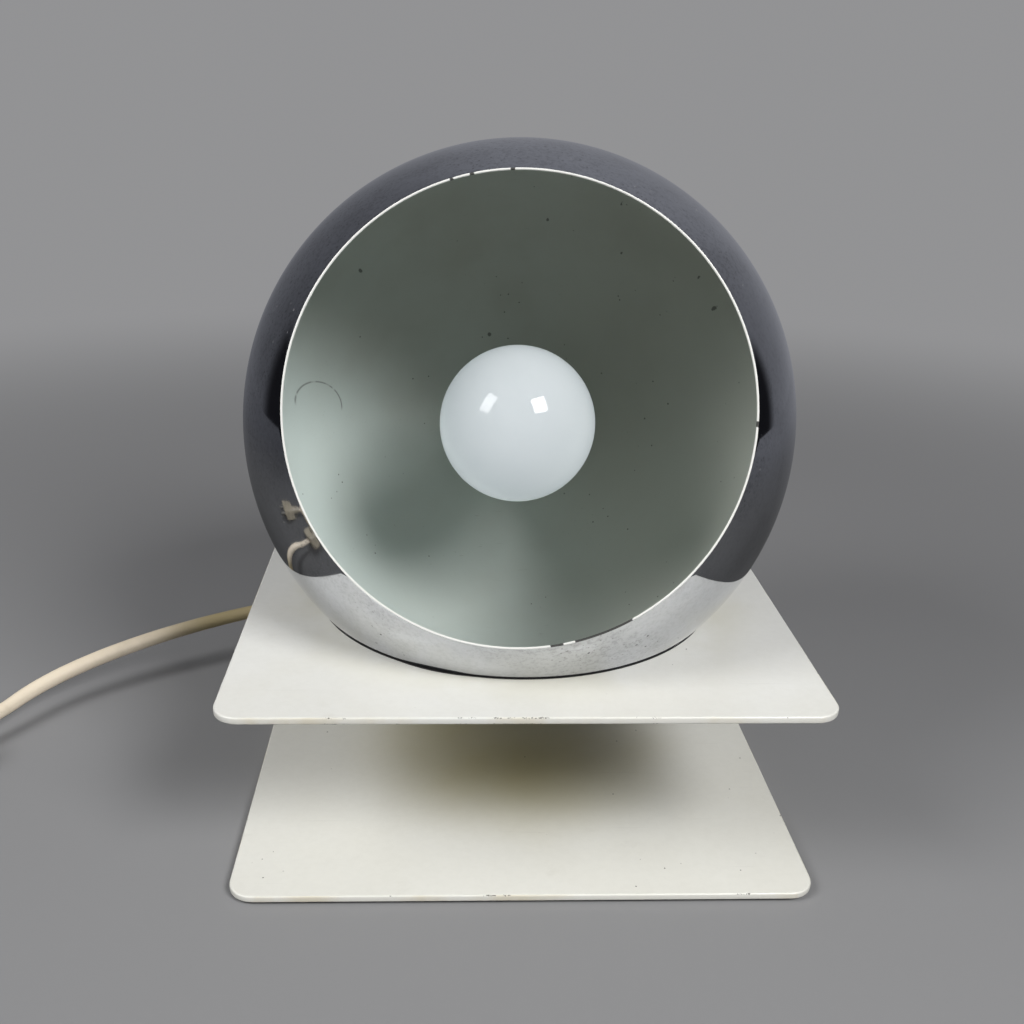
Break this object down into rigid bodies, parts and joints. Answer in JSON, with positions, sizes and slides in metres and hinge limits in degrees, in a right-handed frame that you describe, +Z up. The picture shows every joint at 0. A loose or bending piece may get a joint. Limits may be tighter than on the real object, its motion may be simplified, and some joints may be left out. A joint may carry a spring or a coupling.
{
  "type": "table lamp",
  "caption": "Table lamp with a chromed ball shade resting in a ring in the upper of two square lacquered plates, so that it turns and tips to aim its opal bulb.",
  "frame": {"origin": "under the middle of the lower plate, on the face that the lamp stands on", "axes": "+X to the lamp's right as the picture shows it, +Y to the back, +Z up; the mouth looks along -Y and a little up"},
  "size_m": [0.473, 0.2715, 0.2386],
  "materials": {
    "cream_lacquer": "glossy cream-white lacquer with worn edges",
    "dark_felt": "dark felt",
    "dark_rubber": "matte dark rubber",
    "chromed_steel": "polished chrome outside, white lacquer inside",
    "zinc_steel": "zinc plated",
    "cream_plastic": "soft cream plastic",
    "beige_cord": "beige cord sheath",
    "core_insulation": "wire insulation",
    "white_holder": "white moulded lampholder",
    "ceramic": "glazed white insulator",
    "brass": "plain brass",
    "opal_glass": "glossy opal white glass",
    "clear_glass": "clear glass",
    "bulb_metal": "thin plain metal",
    "black_insulator": "black insulator",
    "tie_plastic": "plain plastic band",
    "switch_plastic": "moulded beige plastic",
    "rocker_plastic": "dark brown plastic",
    "pin_metal": "nickel plated brass"
  },
  "bodies": {
    "stand": {"base_pad": "dark_felt", "base_plate": "cream_lacquer", "top_plate": "cream_lacquer", "rear_upright": "cream_lacquer", "top_screws": "zinc_steel", "base_screws": "zinc_steel", "upright_nuts": "zinc_steel", "cord_bushing": "cream_plastic", "bushing_nut": "cream_plastic", "ball_lead": "beige_cord", "cord_run": "beige_cord", "switch_base": "switch_plastic", "switch_cover": "switch_plastic", "switch_screws": "zinc_steel", "switch_contacts": "brass", "cord_link": "beige_cord", "cord_coil": "beige_cord", "coil_tie": "tie_plastic", "cord_tail": "beige_cord", "plug_body": "switch_plastic", "plug_pins": "pin_metal"},
    "seat": {"seat_ring": "dark_rubber"},
    "ball": {"ball_shell": "chromed_steel", "tube_washers": "zinc_steel", "threaded_tube": "zinc_steel", "tube_nuts": "zinc_steel", "ball_relief": "cream_plastic", "holder_lead": "beige_cord", "holder_wires": "core_insulation", "lampholder_cap": "white_holder", "lampholder_core": "ceramic", "terminal_screws": "brass", "lampholder_body": "white_holder", "screw_shell": "brass", "centre_contact": "brass"},
    "bulb": {"bulb_glass": "opal_glass", "bulb_cap": "bulb_metal", "bulb_insulator": "black_insulator", "bulb_tip": "bulb_metal", "bulb_stem": "clear_glass", "bulb_filament": "bulb_metal"},
    "rocker": {"switch_rocker": "rocker_plastic"}
  },
  "joints": [
    {"name": "seat_swivel", "type": "hinge", "parent": "stand", "child": "seat", "pos_m": [0, 0, 0.0725], "axis": [0, 0, 1], "range_deg": [-25, 25], "deforming": ["ball_lead"]},
    {"name": "ball_tilt", "type": "hinge", "parent": "seat", "child": "ball", "pos_m": [0, 0, 0.13864], "axis": [-0.9981, 0.0619, 0], "range_deg": [-10, 9], "deforming": ["ball_lead"]},
    {"name": "bulb_out", "type": "slide", "parent": "ball", "child": "bulb", "axis": [-0.0585, -0.9431, 0.3272], "range_m": [0, 0.15]},
    {"name": "switch_rock", "type": "hinge", "parent": "stand", "child": "rocker", "pos_m": [-0.24422, -0.03604, 0.0135], "axis": [0.829, -0.5592, 0], "range_deg": [0, 14]}
  ]
}
